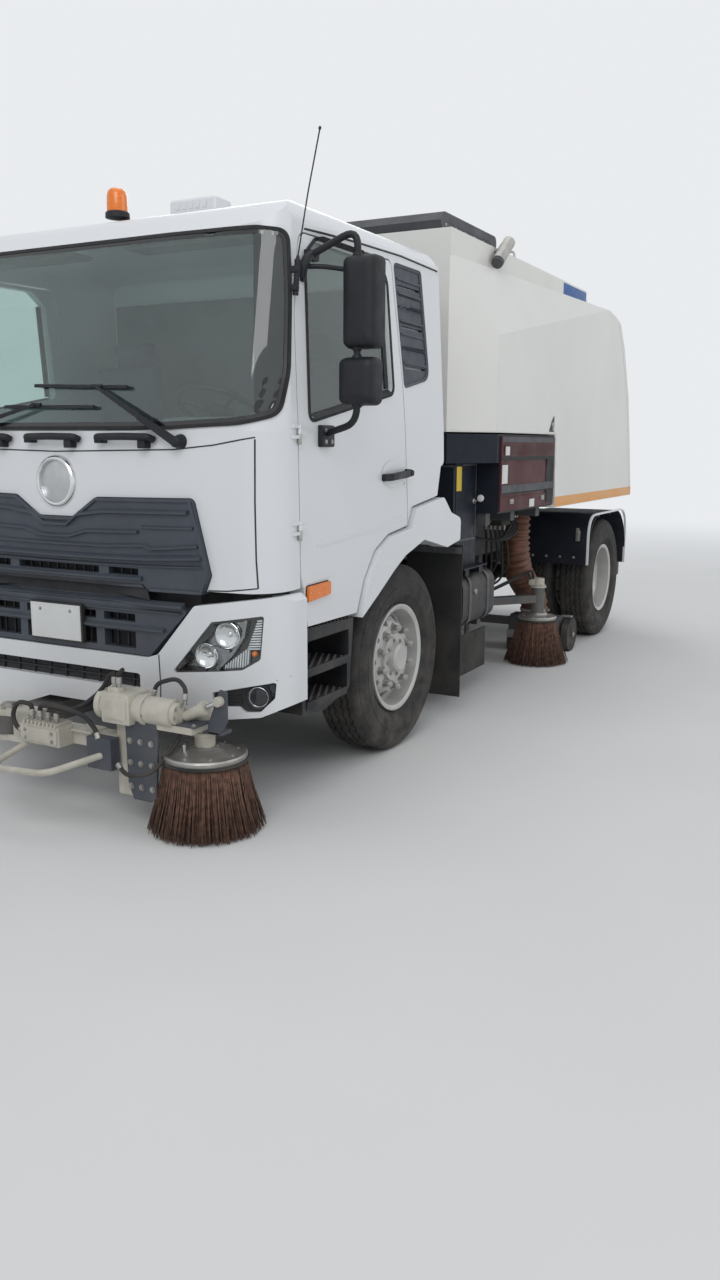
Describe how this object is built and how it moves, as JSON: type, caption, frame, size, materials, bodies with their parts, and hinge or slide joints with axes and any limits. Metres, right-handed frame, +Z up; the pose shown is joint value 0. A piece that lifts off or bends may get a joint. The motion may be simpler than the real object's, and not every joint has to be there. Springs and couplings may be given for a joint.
{
  "type": "street sweeper truck",
  "caption": "Cab-over street sweeper truck with a tipping debris hopper, side suction nozzles, swinging side brushes and a front brush boom.",
  "frame": {"origin": "on the ground at the middle of the machine's length and width", "axes": "+X to the truck's left, -Y forwards so +Y runs to the tail door, +Z up"},
  "size_m": [3.03, 6.9, 3.0548],
  "materials": {
    "cab_white": "gloss paint",
    "body_cream": "gloss paint",
    "stripe_navy": "gloss paint",
    "panel_maroon": "gloss paint",
    "frame_grey": "satin paint",
    "frame_black": "satin paint",
    "grille_grey": "moulded",
    "trim_black": "moulded",
    "cab_trim": "moulded",
    "wheel_white": "satin paint",
    "tyre": "matt",
    "rubber": "matt",
    "hose": "corrugated",
    "glass": "clear",
    "lamp": "clear",
    "bristle": "bristle",
    "iron": "as cast",
    "steel_rod": "ground"
  },
  "bodies": {
    "chassis": {"frame_rails": "frame_grey", "crossmembers": "frame_grey", "front_tongue": "frame_grey", "powertrain": "iron", "front_axle": "frame_black", "rear_axle": "frame_black", "leaf_springs": "frame_black", "side_tanks": "frame_black", "sweeper_subframe": "frame_grey", "engine_enclosure": "stripe_navy", "access_panels": "panel_maroon", "front_cabinets": "stripe_navy", "rear_mudguards": "stripe_navy", "rear_underrun": "frame_grey", "cab_shell": "cab_white", "windscreen": "glass", "quarter_louvres": "grille_grey", "grille": "grille_grey", "bumper": "cab_white", "headlamps": "lamp", "cab_steps": "trim_black", "wheel_arches": "cab_white", "mudflaps": "rubber", "cab_interior": "cab_trim", "cab_fittings": "trim_black", "suction_nozzles": "frame_grey", "suction_hoses": "hose"},
    "knuckle_left": {"knuckle_left": "iron"},
    "knuckle_right": {"knuckle_right": "iron"},
    "tie_rod": {"tie_rod": "frame_black"},
    "front_wheel_left": {"front_tyre_left": "tyre", "front_rim_left": "wheel_white"},
    "front_wheel_right": {"front_tyre_right": "tyre", "front_rim_right": "wheel_white"},
    "rear_wheels_left": {"rear_tyres_left": "tyre", "rear_rims_left": "wheel_white"},
    "rear_wheels_right": {"rear_tyres_right": "tyre", "rear_rims_right": "wheel_white"},
    "cab_door_left": {"door_left": "cab_white", "door_glass_left": "glass", "mirrors_left": "trim_black"},
    "cab_door_right": {"door_right": "cab_white", "door_glass_right": "glass", "mirrors_right": "trim_black"},
    "hopper_body": {"hopper": "body_cream", "roof_box": "frame_grey"},
    "tail_door_body": {"tail_door": "body_cream"},
    "ram_barrels": {"tip_barrels": "frame_black"},
    "ram_rods": {"tip_rods": "steel_rod"},
    "turret": {"boom_turret": "frame_grey"},
    "boom": {"front_boom": "body_cream"},
    "front_brush_rotor": {"front_brush": "bristle"},
    "brush_arm_left": {"side_brush_arm_left": "frame_grey"},
    "brush_arm_right": {"side_brush_arm_right": "frame_grey"},
    "side_brush_rotor_left": {"side_brush_left": "bristle"},
    "side_brush_rotor_right": {"side_brush_right": "bristle"},
    "castor_left": {"nozzle_wheel_left": "tyre"},
    "castor_right": {"nozzle_wheel_right": "tyre"}
  },
  "joints": [
    {"name": "steer_left", "type": "hinge", "parent": "chassis", "child": "knuckle_left", "pos_m": [0.85, -1.45, 0.5225], "axis": [0, 0, 1], "range_deg": [-38, 38]},
    {"name": "steer_right", "type": "hinge", "parent": "chassis", "child": "knuckle_right", "pos_m": [-0.85, -1.45, 0.5225], "axis": [0, 0, 1], "range_deg": [-38, 38]},
    {"name": "tie_rod_pivot", "type": "hinge", "parent": "knuckle_left", "child": "tie_rod", "pos_m": [0.85, -1.285, 0.4025], "axis": [0, 0, 1], "range_deg": [-38, 38]},
    {"name": "front_wheel_spin_left", "type": "hinge", "parent": "knuckle_left", "child": "front_wheel_left", "pos_m": [1.02, -1.45, 0.5225], "axis": [1, 0, 0], "continuous": true},
    {"name": "front_wheel_spin_right", "type": "hinge", "parent": "knuckle_right", "child": "front_wheel_right", "pos_m": [-1.02, -1.45, 0.5225], "axis": [1, 0, 0], "continuous": true},
    {"name": "rear_wheel_spin_left", "type": "hinge", "parent": "chassis", "child": "rear_wheels_left", "pos_m": [0.92, 2.61, 0.5225], "axis": [1, 0, 0], "continuous": true},
    {"name": "rear_wheel_spin_right", "type": "hinge", "parent": "chassis", "child": "rear_wheels_right", "pos_m": [-0.92, 2.61, 0.5225], "axis": [1, 0, 0], "continuous": true},
    {"name": "cab_door_swing_left", "type": "hinge", "parent": "chassis", "child": "cab_door_left", "pos_m": [1.21, -2.614, 1.5], "axis": [0, 0, -1], "range_deg": [0, 70]},
    {"name": "cab_door_swing_right", "type": "hinge", "parent": "chassis", "child": "cab_door_right", "pos_m": [-1.21, -2.614, 1.5], "axis": [0, 0, 1], "range_deg": [0, 70]},
    {"name": "hopper_tip", "type": "hinge", "parent": "chassis", "child": "hopper_body", "pos_m": [0, 3.1, 1.2], "axis": [-1, 0, 0], "range_deg": [0, 50]},
    {"name": "ram_barrel_pivot", "type": "hinge", "parent": "chassis", "child": "ram_barrels", "pos_m": [0, 2.05, 0.9], "axis": [-1, 0, 0], "range_deg": [0, 66]},
    {"name": "ram_rod_slide", "type": "slide", "parent": "ram_barrels", "child": "ram_rods", "axis": [0, -0.9643, 0.2647], "range_m": [0, 0.842]},
    {"name": "tail_door_lift", "type": "hinge", "parent": "hopper_body", "child": "tail_door_body", "pos_m": [0, 2.57, 2.8], "axis": [1, 0, 0], "range_deg": [0, 90]},
    {"name": "front_boom_swing", "type": "hinge", "parent": "chassis", "child": "turret", "pos_m": [-0.15, -3.09, 0.375], "axis": [0, 0, -1], "range_deg": [0, 75]},
    {"name": "front_boom_lift", "type": "hinge", "parent": "turret", "child": "boom", "pos_m": [0.01, -3.09, 0.375], "axis": [0, -1, 0], "range_deg": [0, 5]},
    {"name": "front_brush_spin", "type": "hinge", "parent": "boom", "child": "front_brush_rotor", "pos_m": [0.925, -2.966, 0.3], "axis": [0, 0, 1], "continuous": true},
    {"name": "side_brush_swing_left", "type": "hinge", "parent": "chassis", "child": "brush_arm_left", "pos_m": [0.7, 0.7, 0.5], "axis": [0, 0, -1], "range_deg": [0, 35]},
    {"name": "side_brush_swing_right", "type": "hinge", "parent": "chassis", "child": "brush_arm_right", "pos_m": [-0.7, 0.7, 0.5], "axis": [0, 0, 1], "range_deg": [0, 35]},
    {"name": "side_brush_spin_left", "type": "hinge", "parent": "brush_arm_left", "child": "side_brush_rotor_left", "pos_m": [1.08, 1.17, 0.3], "axis": [0, 0, 1], "continuous": true},
    {"name": "side_brush_spin_right", "type": "hinge", "parent": "brush_arm_right", "child": "side_brush_rotor_right", "pos_m": [-1.08, 1.17, 0.3], "axis": [0, 0, 1], "continuous": true},
    {"name": "nozzle_wheel_spin_left", "type": "hinge", "parent": "chassis", "child": "castor_left", "pos_m": [1.1775, 1.73, 0.14], "axis": [1, 0, 0], "continuous": true},
    {"name": "nozzle_wheel_spin_right", "type": "hinge", "parent": "chassis", "child": "castor_right", "pos_m": [-1.1775, 1.73, 0.14], "axis": [1, 0, 0], "continuous": true}
  ],
  "couplings": [
    {"joint": "steer_right", "follows": "steer_left", "ratio": 1},
    {"joint": "tie_rod_pivot", "follows": "steer_left", "ratio": -1},
    {"joint": "ram_barrel_pivot", "follows": "hopper_tip", "ratio": 1.3134},
    {"joint": "ram_rod_slide", "follows": "hopper_tip", "m_per_rad": 0.9607}
  ]
}
